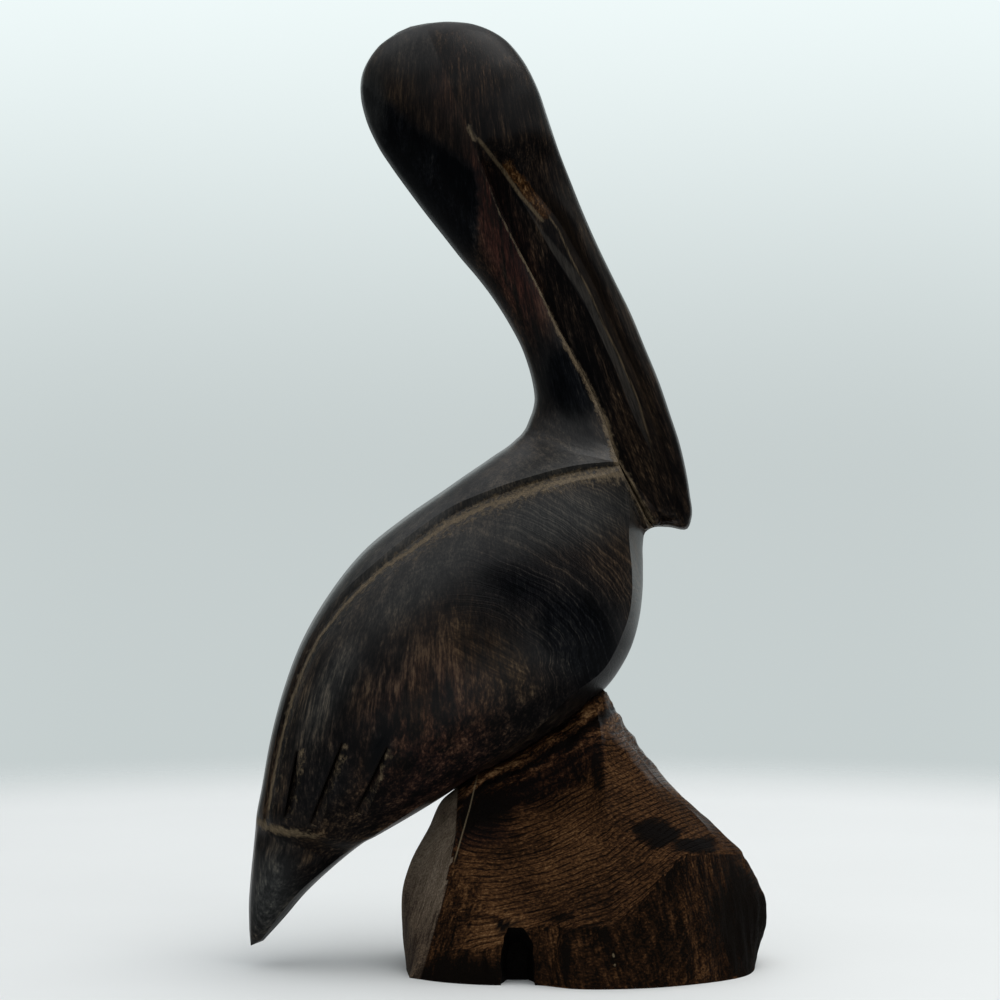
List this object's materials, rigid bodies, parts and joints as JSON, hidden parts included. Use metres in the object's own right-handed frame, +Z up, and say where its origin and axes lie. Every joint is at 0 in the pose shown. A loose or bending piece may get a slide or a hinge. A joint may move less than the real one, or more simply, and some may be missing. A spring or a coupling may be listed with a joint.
{
  "type": "pelican statue",
  "caption": "Carved wooden pelican with its bill laid down along its neck, standing on a rough-hewn foot of the same block.",
  "frame": {"origin": "centre of the bounding box in plan, at the flat underside of the foot", "axes": "+X the way the bird faces, towards the bill tip; +Y to the bird's left; +Z up, from the foot to the crown"},
  "size_m": [0.1392, 0.0684, 0.2539],
  "materials": {
    "ironwood": "dark heavy wood, rubbed to a satin polish on the bird, left rough from the blade on the foot"
  },
  "bodies": {
    "root": {"pelican_statue": "ironwood"}
  },
  "joints": []
}
